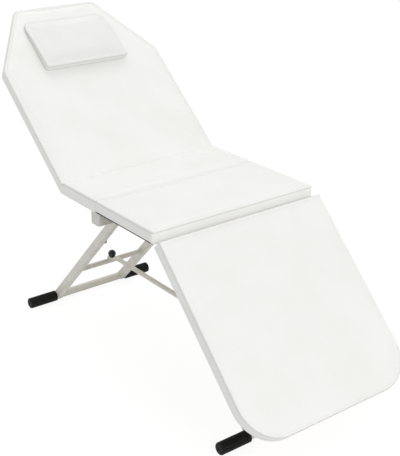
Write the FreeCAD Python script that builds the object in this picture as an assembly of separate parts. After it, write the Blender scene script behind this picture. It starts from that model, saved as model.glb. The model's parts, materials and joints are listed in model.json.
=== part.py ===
"""Folding massage table: four upholstered panels on a steel A-frame.

Two welded half frames meet at a hinge under the joint between the lumbar and the seat panel.
A stay holds their feet apart. The backrest and the leg rest tilt on ratchet hinges.
Millimetres. +X runs to the foot end, +Z up, and the floor is at Z = 0.
"""
import FreeCAD, Part
import math
import os

os.makedirs("parts", exist_ok=True)
V = FreeCAD.Vector
X_AXIS = V(1, 0, 0)
Y_AXIS = V(0, 1, 0)
SIDES = (-1, 1)

# Driving dimensions of the panels
width = 600.0
seat_height = 608.0
seat_length = 300.0
lumbar_length = 205.0
seat_thickness = 40.0
back_length = 702.0
back_taper_start = 465.0
head_width = 309.0
back_thickness = 32.0
back_angle = 40.0
leg_rest_length = 613.0
leg_rest_start = 1.0
leg_rest_thickness = 35.5
leg_rest_angle = 45.5
foot_corner_radius = 120.0
panel_corner_radius = 10.0
joint_corner_radius = 4.0
head_corner_radius = 22.0

# Cushions, boards and the pillow
board_thickness = 9.0
board_inset = 3.0
soft_clearance = 0.3
panel_gap = 0.6
cushion_crown = 3.0
pillow_start = 434.0
pillow_length = 210.0
pillow_width = 318.0
pillow_thickness = 28.0
pillow_head_radius = 38.0
pillow_neck_radius = 10.0
lumbar_mitre = 18.0
back_mitre = 43.5

# Height shares and inward draws of a cushion's sides, from the board up to the crown
cushion_shares = (0.0, 0.2, 0.5, 0.8, 0.94, 1.0)
cushion_draws = (2.0, 0.6, 0.9, 0.6, 2.6, 7.0)
crown_inset = 70.0
pillow_shares = (0.0, 0.24, 0.5, 0.78, 1.0)
pillow_draws = (9.0, 1.5, 0.0, 2.0, 10.0)
pillow_crown_inset = 45.0
pillow_crown = 4.0

# Steel tubes
bar_width = 20.0
bar_height = 40.0
bar_clearance = 0.4
bar_wall = 1.5
leg_depth = 28.0
leg_width = 23.0
leg_wall = 1.5
leg_spacing = 278.0
rail_width = 30.0
rail_height = 20.0
rail_wall = 1.5
seat_rail_length = 270.0
lumbar_rail_length = 186.0
leg_weld_reach = 53.0
floor_bar_diameter = 27.0
floor_bar_wall = 2.0
rear_floor_bar_reach = 564.5
front_floor_bar_reach = 543.0
crossbar_diameter = 18.0
crossbar_wall = 1.5
crossbar_height = 175.0
tube_corner = 2.0

# Rubber sleeves on the floor bars
sleeve_diameter = 38.0
sleeve_reach = 256.0
sleeve_end_wall = 12.0
sleeve_rounding = 5.0
sleeve_grooves = 12
sleeve_groove_radius = 1.6
sleeve_groove_margin = 12.0
sleeve_tread_depth = 0.6
sleeve_hole_radius = 3.0
sleeve_hole_depth = 5.0

# Ribbed end plugs of the hinge bars
plug_cap = 3.0
plug_depth = 14.0
plug_rib_count = 4
plug_rib_share = 0.45
plug_rib_height = 1.4

# Centre hinge under the two bars
centre_drop = 7.0
knuckle_radius = 6.4
knuckle_length = 25.0
knuckle_gap = 0.4
centre_pin_radius = 3.0
centre_leaf = 3.0
centre_leaf_start = 3.0
centre_hinge_spacing = 150.0
centre_pin_head = 4.6
centre_pin_head_length = 2.5

# Ratchet hinges of the backrest and the leg rest
hinge_drop = 7.0
hinge_spacing = 484.0
strap_length = 62.0
strap_width = 20.0
strap_thickness = 3.0
strap_start = 8.0
lug_thickness = 3.0
lug_gap = 0.4
lug_radius = 6.0
hinge_pin_radius = 3.0
hinge_pin_head = 5.0
hinge_pin_head_length = 2.0
ratchet_radius = 19.0
ratchet_teeth = 7
ratchet_tooth_depth = 2.4
ratchet_span = 84.0
ratchet_lean = 28.0
running_clearance = 0.04

# Stay between the crossbars, with its knob
stay_diameter = 16.0
stay_wall = 1.5
stay_lift = 6.0
stay_tab_width = 20.0
stay_seat_clearance = 0.3
stay_tab_thickness = 8.0
stay_taper_length = 24.0
stay_tube_inset = 43.0
stay_hook_wall = 3.0
stay_hook_width = 12.0
stay_hook_drop = 16.0
stay_sleeve_wall = 4.0
stay_sleeve_length = 26.0
knob_radius = 14.0
knob_height = 27.5
knob_collar_radius = 5.5
knob_collar_height = 5.0
knob_screw_radius = 4.0
knob_offset = 12.0

# Dome-headed stop bolts on the inner faces of the rear legs
stop_bolt_height = 345.0
stop_bolt_radius = 5.0
stop_bolt_length = 12.0
stop_bolt_shift = 8.0

# Screws that hold the boards on the rails and the hinge straps under the boards
screw_radius = 2.0
screw_depth = 6.0
screw_head_radius = 4.2
screw_head_height = 2.4
screw_head_share = 0.7
screw_slot_width = 1.0
screw_slot_depth = 1.3
strap_screw_shares = (0.46, 0.84)
rail_screw_shares = (0.5, 0.9)

# Cuts run past the faces that they open
overrun = 20.0

# An edge this nearly in line with a bar counts as lengthwise
along_share = 0.99

# Heights and axes that follow from the sizes above
panel_under = seat_height - seat_thickness
bar_bottom = panel_under - bar_height
rail_bottom = panel_under - rail_height
centre_axis = V(0, 0, bar_bottom - centre_drop)
back_axis = V(-lumbar_length, 0, panel_under - hinge_drop)
leg_axis = V(seat_length, 0, panel_under - hinge_drop)
sleeve_radius = sleeve_diameter / 2
floor_bar_height = sleeve_radius - sleeve_tread_depth
leg_offset = leg_spacing / 2
leg_inner = leg_offset - leg_width / 2
leg_outer = leg_offset + leg_width / 2
half_width = width / 2
strap_under = panel_under - strap_thickness


def box(x0, x1, y0, y1, z0, z1):
    """Box between two corners."""
    return Part.makeBox(x1 - x0, y1 - y0, z1 - z0, V(x0, y0, z0))


def rod(start, end, radius):
    """Round bar from start to end."""
    run = end - start
    return Part.makeCylinder(radius, run.Length, start, run)


def tube(start, end, radius, wall):
    """Round tube from start to end."""
    return rod(start, end, radius).cut(rod(start, end, radius - wall))


def across(x, z, y0, y1, radius):
    """Round bar across the table at one place along it."""
    return rod(V(x, y0, z), V(x, y1, z), radius)


def profile(points, y0, y1):
    """Outline in the XZ plane carried across the table."""
    corners = [V(x, y0, z) for x, z in points]
    face = Part.Face(Part.makePolygon(corners + corners[:1]))
    return face.extrude(V(0, y1 - y0, 0))


def rounded_outline(corners, radii, inset, z):
    """Convex outline with an arc at each corner, drawn in by inset, at height z."""
    count = len(corners)
    points = [V(x, y, 0) for x, y in corners]
    middle = sum(points, V(0, 0, 0)) / count
    lines = []
    for i in range(count):
        run = (points[(i + 1) % count] - points[i]).normalize()
        inward = V(-run.y, run.x, 0)
        if inward.dot(middle - points[i]) < 0:
            inward = -inward
        lines.append((points[i] + inward * inset, run))
    starts, arcs, ends = [], [], []
    for i in range(count):
        before, after = lines[i - 1], lines[i]
        turn = before[1].cross(after[1]).z
        reach = (after[0] - before[0]).cross(after[1]).z / turn
        corner = before[0] + before[1] * reach
        radius = max(radii[i] - inset, radii[i] / 2)
        half_turn = math.acos(before[1].dot(after[1])) / 2
        back_off = radius * math.tan(half_turn)
        bulge = radius / math.cos(half_turn) - radius
        towards = (after[1] - before[1]).normalize()
        starts.append(corner - before[1] * back_off)
        arcs.append(corner + towards * bulge)
        ends.append(corner + after[1] * back_off)
    lift = V(0, 0, z)
    edges = []
    for i in range(count):
        following = (i + 1) % count
        edges.append(Part.Arc(starts[i] + lift, arcs[i] + lift, ends[i] + lift).toShape())
        edges.append(Part.LineSegment(ends[i] + lift, starts[following] + lift).toShape())
    return Part.Wire(edges)


def slab(corners, radii, inset, z0, z1):
    """Flat board with rounded corners."""
    return Part.Face(rounded_outline(corners, radii, inset, z0)).extrude(V(0, 0, z1 - z0))


def crowned(corners, radii, z0, z1, shares, draws, crown, crown_draw):
    """Cushion: sides drawn in along its height, rounded top edge and a crown."""
    shoulder = z1 - crown - z0
    wires = [rounded_outline(corners, radii, draw, z0 + shoulder * share)
             for share, draw in zip(shares, draws)]
    wires.append(rounded_outline(corners, radii, crown_draw, z1))
    return Part.makeLoft(wires, True, True)


def turned(shape, axis_point, degrees):
    """Copy turned about a line across the table. A positive turn lifts the end at -X."""
    copy = shape.copy()
    copy.rotate(axis_point, Y_AXIS, degrees)
    return copy


def mitred(shape, axis_point, degrees, keep_side):
    """Shape cut by a plane through a hinge line, leaning from the upright by degrees."""
    reach = 2 * width
    x0, x1 = sorted((-keep_side * reach, keep_side * panel_gap))
    waste = box(x0, x1, -reach, reach, -reach, reach)
    waste.translate(axis_point)
    return shape.cut(turned(waste, axis_point, degrees))


def eased(shape, run):
    """Bar with its lengthwise edges rounded, as on drawn tube."""
    edges = [edge for edge in shape.Edges
             if abs(edge.tangentAt(edge.FirstParameter).dot(run)) > along_share]
    return shape.makeFillet(tube_corner, edges)


def leg_tube(start, end, y):
    """Rectangular leg tube along a line in an XZ plane, open at its ends."""
    run = end - start
    half_across, half_depth = leg_width / 2, leg_depth / 2
    outer = box(0, run.Length, -half_across, half_across, -half_depth, half_depth)
    inner = box(-overrun, run.Length + overrun, leg_wall - half_across, half_across - leg_wall,
                leg_wall - half_depth, half_depth - leg_wall)
    shape = eased(outer, X_AXIS).cut(inner)
    shape.rotate(V(0, 0, 0), Y_AXIS, -math.degrees(math.atan2(run.z, run.x)))
    shape.translate(start + V(0, y, 0))
    return shape


def group(shapes):
    """Several solids of one node."""
    return shapes[0] if len(shapes) == 1 else Part.makeCompound(shapes)


def both_sides(maker):
    """The same piece made at the near and at the far side."""
    return group([maker(side) for side in SIDES])


def rail_length(direction):
    """Reach of a half frame's rails from the fold."""
    return seat_rail_length if direction > 0 else lumbar_rail_length


def rail_places(direction):
    """Screw places on the two rails of a half frame."""
    return [(direction * rail_length(direction) * share, side * leg_offset)
            for side in SIDES for share in rail_screw_shares]


def strap_places(axis_point, direction, offset):
    """Screw places on a pair of hinge straps that run from the hinge line in one direction."""
    return [(axis_point.x + direction * strap_length * share, side * (hinge_spacing / 2 + offset))
            for side in SIDES for share in strap_screw_shares]


def drilled(shape, places, underside):
    """Shape with a hole for each screw's shank."""
    for x, y in places:
        shape = shape.cut(rod(V(x, y, underside), V(x, y, panel_under + screw_depth),
                              screw_radius + running_clearance))
    return shape


def screws(places, underside):
    """Cross-headed screws driven up into a board."""
    shapes = []
    for x, y in places:
        seat = V(x, y, underside)
        bottom = underside - screw_head_height
        shape = Part.makeCone(screw_head_radius * screw_head_share, screw_head_radius,
                              screw_head_height, V(x, y, bottom))
        for long, short in ((1, 0), (0, 1)):
            half_x = screw_slot_width / 2 + long * screw_radius
            half_y = screw_slot_width / 2 + short * screw_radius
            shape = shape.cut(box(x - half_x, x + half_x, y - half_y, y + half_y,
                                  bottom, bottom + screw_slot_depth))
        shapes.append(shape.fuse(rod(seat, V(x, y, panel_under + screw_depth), screw_radius)))
    return group(shapes)


# Panels
seat_corners = [(panel_gap, -half_width), (seat_length, -half_width),
                (seat_length, half_width), (panel_gap, half_width)]
lumbar_corners = [(-lumbar_length, -half_width), (-panel_gap, -half_width),
                  (-panel_gap, half_width), (-lumbar_length, half_width)]
leg_corners = [(seat_length + leg_rest_start, -half_width),
               (seat_length + leg_rest_length, -half_width),
               (seat_length + leg_rest_length, half_width),
               (seat_length + leg_rest_start, half_width)]
head_x = -lumbar_length - back_length
taper_x = -lumbar_length - back_taper_start
back_corners = [(-lumbar_length, half_width), (taper_x, half_width), (head_x, head_width / 2),
                (head_x, -head_width / 2), (taper_x, -half_width), (-lumbar_length, -half_width)]
seat_radii = [joint_corner_radius, panel_corner_radius, panel_corner_radius, joint_corner_radius]
lumbar_radii = [joint_corner_radius] * 4
leg_radii = [joint_corner_radius, foot_corner_radius, foot_corner_radius, joint_corner_radius]
back_radii = [joint_corner_radius] + [head_corner_radius] * 4 + [joint_corner_radius]


fixed_offset = -strap_width / 2
moving_offset = lug_gap + strap_width / 2


def panel(corners, radii, thickness, places):
    """A panel's drilled board and the cushion on it, lying flat."""
    board_top = panel_under + board_thickness
    board = drilled(slab(corners, radii, board_inset, panel_under, board_top), places, panel_under)
    cushion = crowned(corners, radii, board_top + soft_clearance, panel_under + thickness,
                      cushion_shares, cushion_draws, cushion_crown, crown_inset)
    return board, cushion


seat_places = strap_places(leg_axis, -1, fixed_offset) + rail_places(1)
lumbar_places = strap_places(back_axis, 1, fixed_offset) + rail_places(-1)
leg_places = strap_places(leg_axis, 1, moving_offset)
back_places = strap_places(back_axis, -1, moving_offset)
seat_board, seat_cushion = panel(seat_corners, seat_radii, seat_thickness, seat_places)
lumbar_board, lumbar_cushion = [
    mitred(shape, back_axis, lumbar_mitre, 1)
    for shape in panel(lumbar_corners, lumbar_radii, seat_thickness, lumbar_places)]
leg_board, leg_cushion = [
    turned(shape, leg_axis, leg_rest_angle)
    for shape in panel(leg_corners, leg_radii, leg_rest_thickness, leg_places)]
back_board, back_cushion = [
    turned(mitred(shape, back_axis, -back_mitre, -1), back_axis, back_angle)
    for shape in panel(back_corners, back_radii, back_thickness, back_places)]

pillow_near = -lumbar_length - pillow_start
pillow_far = pillow_near - pillow_length
pillow_corners = [(pillow_far, -pillow_width / 2), (pillow_near, -pillow_width / 2),
                  (pillow_near, pillow_width / 2), (pillow_far, pillow_width / 2)]
pillow_radii = [pillow_head_radius, pillow_neck_radius, pillow_neck_radius, pillow_head_radius]
pillow_base = panel_under + back_thickness + soft_clearance
pillow = turned(crowned(pillow_corners, pillow_radii, pillow_base,
                        pillow_base + pillow_thickness, pillow_shares, pillow_draws,
                        pillow_crown, pillow_crown_inset), back_axis, back_angle)


# Half frames. Direction is 1 for the front half and -1 for the rear half.
def hinge_bar(direction):
    """Rectangular tube across the table beside the fold."""
    near, far = sorted((direction * bar_clearance, direction * (bar_clearance + bar_width)))
    reach = half_width - plug_cap
    outer = box(near, far, -reach, reach, bar_bottom, panel_under)
    inner = box(near + bar_wall, far - bar_wall, -half_width, half_width,
                bar_bottom + bar_wall, panel_under - bar_wall)
    return eased(outer, Y_AXIS).cut(inner)


def bar_plug(direction, side):
    """Plastic plug in a hinge bar's end, with upright ribs on its cap."""
    near, far = sorted((direction * bar_clearance, direction * (bar_clearance + bar_width)))
    face = half_width
    inner = half_width - plug_cap
    y0, y1 = sorted((side * inner, side * face))
    cap = eased(box(near, far, y0, y1, bar_bottom, panel_under), Y_AXIS)
    s0, s1 = sorted((side * inner, side * (inner - plug_depth)))
    margin = bar_wall + running_clearance
    stem = box(near + margin, far - margin, s0, s1, bar_bottom + margin, panel_under - margin)
    pitch = bar_width / plug_rib_count
    slot = pitch * plug_rib_share
    shape = cap.fuse(stem)
    c0, c1 = sorted((side * (face - plug_rib_height), side * (face + overrun)))
    for i in range(plug_rib_count - 1):
        middle = near + pitch * (i + 1)
        shape = shape.cut(box(middle - slot / 2, middle + slot / 2, c0, c1,
                              bar_bottom + bar_wall, panel_under - bar_wall))
    return shape


def floor_bar_x(direction):
    """Place of a half frame's floor bar along the table."""
    return front_floor_bar_reach if direction > 0 else -rear_floor_bar_reach


def leg_line(direction):
    """Foot and top of a leg's centre line."""
    foot = V(floor_bar_x(direction), 0, floor_bar_height)
    top = V(direction * leg_weld_reach, 0, rail_bottom)
    return foot, top


def crossbar_x(direction):
    """Place along the table where the crossbar meets the legs' centre lines."""
    foot, top = leg_line(direction)
    rise_share = (crossbar_height - foot.z) / (top.z - foot.z)
    return foot.x + (top.x - foot.x) * rise_share


def leg(direction, side):
    """Leg, coped on the floor bar and cut level under the rail."""
    foot, top = leg_line(direction)
    extra = (top - foot).normalize() * (2 * leg_depth)
    shape = leg_tube(foot, top + extra, side * leg_offset)
    reach = 2 * width
    shape = shape.cut(box(-reach, reach, -reach, reach, rail_bottom, reach))
    return shape.cut(across(foot.x, foot.z, -half_width, half_width, floor_bar_diameter / 2))


def rail(direction, side):
    """Flat tube under a panel, from the hinge bar outwards."""
    x0, x1 = sorted((direction * (bar_clearance + bar_width), direction * rail_length(direction)))
    y0 = side * leg_offset - rail_width / 2
    y1 = y0 + rail_width
    outer = box(x0, x1, y0, y1, rail_bottom, panel_under)
    inner = box(x0 - overrun, x1 + overrun, y0 + rail_wall, y1 - rail_wall,
                rail_bottom + rail_wall, panel_under - rail_wall)
    return drilled(eased(outer, X_AXIS).cut(inner), rail_places(direction), rail_bottom)


def crossbar(direction):
    """Thin round tube between the legs."""
    x = crossbar_x(direction)
    return tube(V(x, -leg_inner, crossbar_height), V(x, leg_inner, crossbar_height),
                crossbar_diameter / 2, crossbar_wall)


def floor_bar(direction):
    """Round tube on the floor across the two feet."""
    x = floor_bar_x(direction)
    reach = sleeve_reach - sleeve_end_wall
    return tube(V(x, -reach, floor_bar_height), V(x, reach, floor_bar_height),
                floor_bar_diameter / 2, floor_bar_wall)


def foot_sleeve(direction, side):
    """Rubber sleeve with lengthwise grooves, a closed round end and a flat tread."""
    x = floor_bar_x(direction)
    centre = V(x, side * leg_outer, floor_bar_height)
    length = sleeve_reach - leg_outer
    out = V(0, side, 0)
    shape = Part.makeCylinder(sleeve_radius, length, centre, out)
    rim = [edge for edge in shape.Edges
           if abs(edge.BoundBox.YLength) < soft_clearance
           and abs(abs(edge.CenterOfMass.y) - sleeve_reach) < soft_clearance]
    shape = shape.makeFillet(sleeve_rounding, rim)
    for i in range(sleeve_grooves):
        angle = 2 * math.pi * (i + 0.5) / sleeve_grooves
        at = centre + V(math.cos(angle), 0, math.sin(angle)) * sleeve_radius
        start = at + out * sleeve_groove_margin
        end = at + out * (length - sleeve_groove_margin)
        shape = shape.cut(rod(start, end, sleeve_groove_radius))
    end_face = centre + out * length
    shape = shape.cut(rod(end_face - out * sleeve_hole_depth, end_face + out * overrun,
                          sleeve_hole_radius))
    shape = shape.cut(rod(centre - out * overrun, end_face - out * sleeve_end_wall,
                          floor_bar_diameter / 2))
    reach = 2 * width
    return shape.cut(box(-reach, reach, -reach, reach, -reach, 0))


def centre_knuckle(direction, y):
    """Hinge leaf under a bar with one knuckle on the fold's axis."""
    y0 = y - knuckle_length / 2 + knuckle_gap / 2
    y1 = y + knuckle_length / 2 - knuckle_gap / 2
    ring = across(0, centre_axis.z, y0, y1, knuckle_radius)
    near, far = sorted((direction * centre_leaf_start, direction * bar_width))
    leaf = box(near, far, y0, y1, bar_bottom - centre_leaf, bar_bottom)
    bore = across(0, centre_axis.z, y0 - overrun, y1 + overrun,
                  centre_pin_radius + running_clearance)
    return ring.fuse(leaf).cut(bore)


def centre_pin(side):
    """Headed pin through one set of three knuckles."""
    middle = side * centre_hinge_spacing / 2
    reach = 3 * knuckle_length / 2
    shape = across(0, centre_axis.z, middle - reach, middle + reach, centre_pin_radius)
    for end in SIDES:
        start = middle + end * reach
        y0, y1 = sorted((start, start + end * centre_pin_head_length))
        shape = shape.fuse(across(0, centre_axis.z, y0, y1, centre_pin_head))
    return shape


# Ratchet hinges. Direction points from the hinge line to the fixed panel.
def lug(axis_point, y0, y1, web_x, sector):
    """Upright hinge plate: an eye, a web up to its strap and a sector below."""
    eye = across(axis_point.x, axis_point.z, y0, y1, lug_radius)
    x0, x1 = sorted((axis_point.x, axis_point.x + web_x))
    web = box(x0, x1, y0, y1, axis_point.z - lug_radius / 2, strap_under)
    bore = across(axis_point.x, axis_point.z, y0 - overrun, y1 + overrun,
                  hinge_pin_radius + running_clearance)
    return eye.fuse([web, profile(sector, y0, y1)]).cut(bore)


def sector_points(axis_point, direction, toothed):
    """Fan below the hinge line, with ratchet teeth on its arc or a plain rim."""
    points = [(axis_point.x, axis_point.z)]
    first = direction * ratchet_lean - ratchet_span / 2
    steps = 2 * ratchet_teeth
    for i in range(steps + 1):
        angle = math.radians(first + ratchet_span * i / steps)
        radius = ratchet_radius - (ratchet_tooth_depth if toothed and i % 2 else 0)
        points.append((axis_point.x + radius * math.sin(angle),
                       axis_point.z - radius * math.cos(angle)))
    return points


def fixed_leaf(axis_point, direction, side):
    """Strap screwed under the fixed board, with a toothed lug."""
    outer = side * hinge_spacing / 2
    y0, y1 = sorted((outer, outer - side * lug_thickness))
    s0, s1 = sorted((outer, outer - side * strap_width))
    x0, x1 = sorted((axis_point.x + direction * strap_start,
                     axis_point.x + direction * strap_length))
    strap = drilled(box(x0, x1, s0, s1, strap_under, panel_under),
                    strap_places(axis_point, direction, fixed_offset), strap_under)
    plate = lug(axis_point, y0, y1, direction * 2 * lug_radius,
                sector_points(axis_point, direction, True))
    return strap.fuse(plate)


def moving_leaf(axis_point, direction, side, degrees):
    """Strap under the tilting board, with the lug that carries the pawl."""
    inner = side * (hinge_spacing / 2 + lug_gap)
    y0, y1 = sorted((inner, inner + side * lug_thickness))
    s0, s1 = sorted((inner, inner + side * strap_width))
    x0, x1 = sorted((axis_point.x - direction * strap_start,
                     axis_point.x - direction * strap_length))
    strap = drilled(box(x0, x1, s0, s1, strap_under, panel_under),
                    strap_places(axis_point, -direction, moving_offset), strap_under)
    plate = lug(axis_point, y0, y1, -direction * 2 * lug_radius,
                sector_points(axis_point, -direction, False))
    return turned(strap.fuse(plate), axis_point, degrees)


def hinge_pin(axis_point, side):
    """Headed pin through both lugs."""
    middle = side * (hinge_spacing / 2 + lug_gap / 2)
    reach = lug_thickness + lug_gap / 2
    shape = across(axis_point.x, axis_point.z, middle - reach, middle + reach, hinge_pin_radius)
    for end in SIDES:
        start = middle + end * reach
        y0, y1 = sorted((start, start + end * hinge_pin_head_length))
        shape = shape.fuse(across(axis_point.x, axis_point.z, y0, y1, hinge_pin_head))
    return shape


# Stay
stay_bottom = crossbar_height + crossbar_diameter / 2 + stay_seat_clearance
sleeve_bore = crossbar_diameter / 2 + running_clearance
stay_axis = stay_bottom + stay_lift + stay_diameter / 2


def flattened_end(direction):
    """End of the stay: the round tube runs down into a flat tab over a crossbar."""
    centre = crossbar_x(direction)
    tube_x = centre - direction * stay_tube_inset
    tab_x = tube_x + direction * stay_taper_length
    half = stay_tab_width / 2
    tab_top = stay_bottom + stay_tab_thickness
    middle = V(tube_x, 0, stay_axis)

    def rim(step):
        angle = math.pi * step / 4
        return middle + V(0, math.cos(angle), math.sin(angle)) * (stay_diameter / 2)

    round_end = Part.Wire([Part.Arc(rim(step), rim(step + 1), rim(step + 2)).toShape()
                           for step in range(-3, 5, 2)])
    flat_end = Part.makePolygon([V(tab_x, -half, stay_bottom), V(tab_x, half, stay_bottom),
                                 V(tab_x, half, tab_top), V(tab_x, -half, tab_top),
                                 V(tab_x, -half, stay_bottom)])
    taper = Part.makeLoft([round_end, flat_end], True, True)
    x0, x1 = sorted((tab_x, centre))
    return taper.fuse(box(x0, x1, -half, half, stay_bottom, tab_top))


def stay_bar():
    """Round tube with both ends flattened and a hook behind the rear crossbar."""
    x0 = crossbar_x(-1) + stay_tube_inset
    x1 = crossbar_x(1) - stay_tube_inset
    half = stay_hook_width / 2
    middle = tube(V(x0, 0, stay_axis), V(x1, 0, stay_axis), stay_diameter / 2, stay_wall)
    hook_face = crossbar_x(-1) - crossbar_diameter / 2 - stay_seat_clearance
    hook = profile([(crossbar_x(-1), stay_bottom), (hook_face, stay_bottom),
                    (hook_face, stay_bottom - stay_hook_drop),
                    (hook_face - stay_hook_wall, stay_bottom - stay_hook_drop),
                    (hook_face - stay_hook_wall, stay_bottom + stay_hook_wall),
                    (crossbar_x(-1), stay_bottom + stay_tab_thickness)], -half, half)
    shape = middle.fuse([flattened_end(-1), flattened_end(1), hook])
    screw_hole = rod(V(knob_x, 0, stay_bottom - overrun), V(knob_x, 0, stay_bottom + overrun),
                     knob_screw_radius + running_clearance)
    eye = across(crossbar_x(1), crossbar_height, -stay_sleeve_length, stay_sleeve_length,
                 sleeve_bore + stay_sleeve_wall)
    return shape.cut(screw_hole).cut(eye)


def stay_sleeve():
    """Welded sleeve that turns on the front crossbar."""
    x = crossbar_x(1)
    half = stay_sleeve_length / 2
    outer = across(x, crossbar_height, -half, half, sleeve_bore + stay_sleeve_wall)
    return outer.cut(across(x, crossbar_height, -half, half, sleeve_bore))


knob_x = crossbar_x(-1) + knob_offset


def knob():
    """Ball knob, flat underneath, on a collar with its clamping screw."""
    foot = V(knob_x, 0, stay_bottom)
    base = V(knob_x, 0, stay_bottom + stay_tab_thickness)
    seat = base + V(0, 0, knob_collar_height)
    centre = base + V(0, 0, knob_height - knob_radius)
    below = box(knob_x - overrun, knob_x + overrun, -overrun, overrun, stay_bottom - overrun, seat.z)
    ball = Part.makeSphere(knob_radius, centre).cut(below)
    return ball.fuse([rod(base, seat, knob_collar_radius), rod(foot, base, knob_screw_radius)])


def stop_bolt(side):
    """Dome-headed bolt on a rear leg's inner face, near the leg's front edge."""
    foot, top = leg_line(-1)
    run = (top - foot).normalize()
    rise_share = (stop_bolt_height - foot.z) / (top.z - foot.z)
    middle = foot + (top - foot) * rise_share + V(run.z, 0, -run.x) * stop_bolt_shift
    start = V(middle.x, side * leg_inner, middle.z)
    end = start - V(0, side * (stop_bolt_length - stop_bolt_radius), 0)
    return rod(start, end, stop_bolt_radius).fuse(Part.makeSphere(stop_bolt_radius, end))


pieces = {
    "seat_board": seat_board,
    "seat_cushion": seat_cushion,
    "lumbar_board": lumbar_board,
    "lumbar_cushion": lumbar_cushion,
    "back_board": back_board,
    "back_cushion": back_cushion,
    "pillow": pillow,
    "leg_rest_board": leg_board,
    "leg_rest_cushion": leg_cushion,
    "stay_bar": stay_bar(),
    "stay_sleeve": stay_sleeve(),
    "stay_knob": knob(),
    "stop_bolts": both_sides(stop_bolt),
    "centre_hinge_pins": both_sides(centre_pin),
}
for name, direction in (("front", 1), ("rear", -1)):
    pieces[name + "_hinge_bar"] = hinge_bar(direction)
    pieces[name + "_bar_plugs"] = group([bar_plug(direction, side) for side in SIDES])
    pieces[name + "_crossbar"] = crossbar(direction)
    pieces[name + "_floor_bar"] = floor_bar(direction)
    pieces[name + "_rail_screws"] = screws(rail_places(direction), rail_bottom)
    for side_name, side in (("near", -1), ("far", 1)):
        pieces[name + "_leg_" + side_name] = leg(direction, side)
        pieces[name + "_rail_" + side_name] = rail(direction, side)
        pieces[name + "_foot_sleeve_" + side_name] = foot_sleeve(direction, side)
knuckle_places = [(side * centre_hinge_spacing / 2, step)
                  for side in SIDES for step in (-knuckle_length, 0, knuckle_length)]
pieces["centre_hinge_front"] = group([centre_knuckle(1, y + step) for y, step in knuckle_places if step])
pieces["centre_hinge_rear"] = group([centre_knuckle(-1, y) for y, step in knuckle_places if not step])
for name, axis_point, direction, degrees in (("back", back_axis, 1, back_angle),
                                             ("leg_rest", leg_axis, -1, leg_rest_angle)):
    pieces[name + "_hinge_fixed_leaves"] = group(
        [fixed_leaf(axis_point, direction, side) for side in SIDES])
    pieces[name + "_hinge_moving_leaves"] = group(
        [moving_leaf(axis_point, direction, side, degrees) for side in SIDES])
    pieces[name + "_hinge_pins"] = group([hinge_pin(axis_point, side) for side in SIDES])
    pieces[name + "_hinge_fixed_screws"] = screws(
        strap_places(axis_point, direction, fixed_offset), strap_under)
    pieces[name + "_hinge_moving_screws"] = turned(
        screws(strap_places(axis_point, -direction, moving_offset), strap_under), axis_point, degrees)

# The origin lies on the floor under the middle of the table's length
reach = Part.makeCompound(list(pieces.values())).BoundBox
origin_shift = V(-(reach.XMin + reach.XMax) / 2, 0, 0)
for name, shape in pieces.items():
    placed = shape.copy()
    placed.translate(origin_shift)
    placed.exportStep("parts/" + name + ".step")
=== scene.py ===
"""Folding massage table: white leatherette panels on a powder-coated steel A-frame. Metres."""
import json
import math

import bpy
import mathutils
import numpy as np
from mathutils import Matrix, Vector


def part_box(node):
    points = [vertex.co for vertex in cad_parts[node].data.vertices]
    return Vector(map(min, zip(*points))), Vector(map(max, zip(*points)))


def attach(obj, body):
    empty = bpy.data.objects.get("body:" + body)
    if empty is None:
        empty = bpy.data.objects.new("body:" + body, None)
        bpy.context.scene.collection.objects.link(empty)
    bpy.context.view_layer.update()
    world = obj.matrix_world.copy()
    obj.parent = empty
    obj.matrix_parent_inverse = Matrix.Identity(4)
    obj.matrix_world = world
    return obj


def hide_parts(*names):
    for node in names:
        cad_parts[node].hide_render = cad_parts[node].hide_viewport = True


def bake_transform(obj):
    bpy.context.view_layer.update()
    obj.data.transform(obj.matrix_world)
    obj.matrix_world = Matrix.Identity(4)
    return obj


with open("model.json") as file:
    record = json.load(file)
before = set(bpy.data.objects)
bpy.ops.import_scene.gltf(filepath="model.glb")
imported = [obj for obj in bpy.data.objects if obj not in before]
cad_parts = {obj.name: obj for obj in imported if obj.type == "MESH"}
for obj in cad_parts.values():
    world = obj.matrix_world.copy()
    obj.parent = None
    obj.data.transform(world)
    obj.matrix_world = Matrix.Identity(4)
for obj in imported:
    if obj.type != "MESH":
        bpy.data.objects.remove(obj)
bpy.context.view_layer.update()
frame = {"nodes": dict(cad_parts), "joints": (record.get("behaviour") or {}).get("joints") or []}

# Half frames and stay: hinge bars, rails, legs, crossbars and floor bars, and the bar between.
# Mild steel tube, welded and powder coated in a warm grey. The coat is slightly uneven
# and has the fine orange-peel skin of baked powder.


def srgb(red, green, blue):
    """Linear colour of an 8-bit chip, by the sRGB curve."""
    chip = np.array((red, green, blue)) / 255
    linear = np.where(chip <= 0.04045, chip / 12.92, ((chip + 0.055) / 1.055) ** 2.4)
    return (*linear.tolist(), 1.0)


def effect_group(name, inputs, outputs):
    """Empty shader node group with the named sockets, and its two end nodes."""
    tree = bpy.data.node_groups.new(name, "ShaderNodeTree")
    for label, kind in inputs:
        tree.interface.new_socket(label, in_out="INPUT", socket_type=kind)
    for label, kind in outputs:
        tree.interface.new_socket(label, in_out="OUTPUT", socket_type=kind)
    return tree, tree.nodes.new("NodeGroupInput"), tree.nodes.new("NodeGroupOutput")


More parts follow.
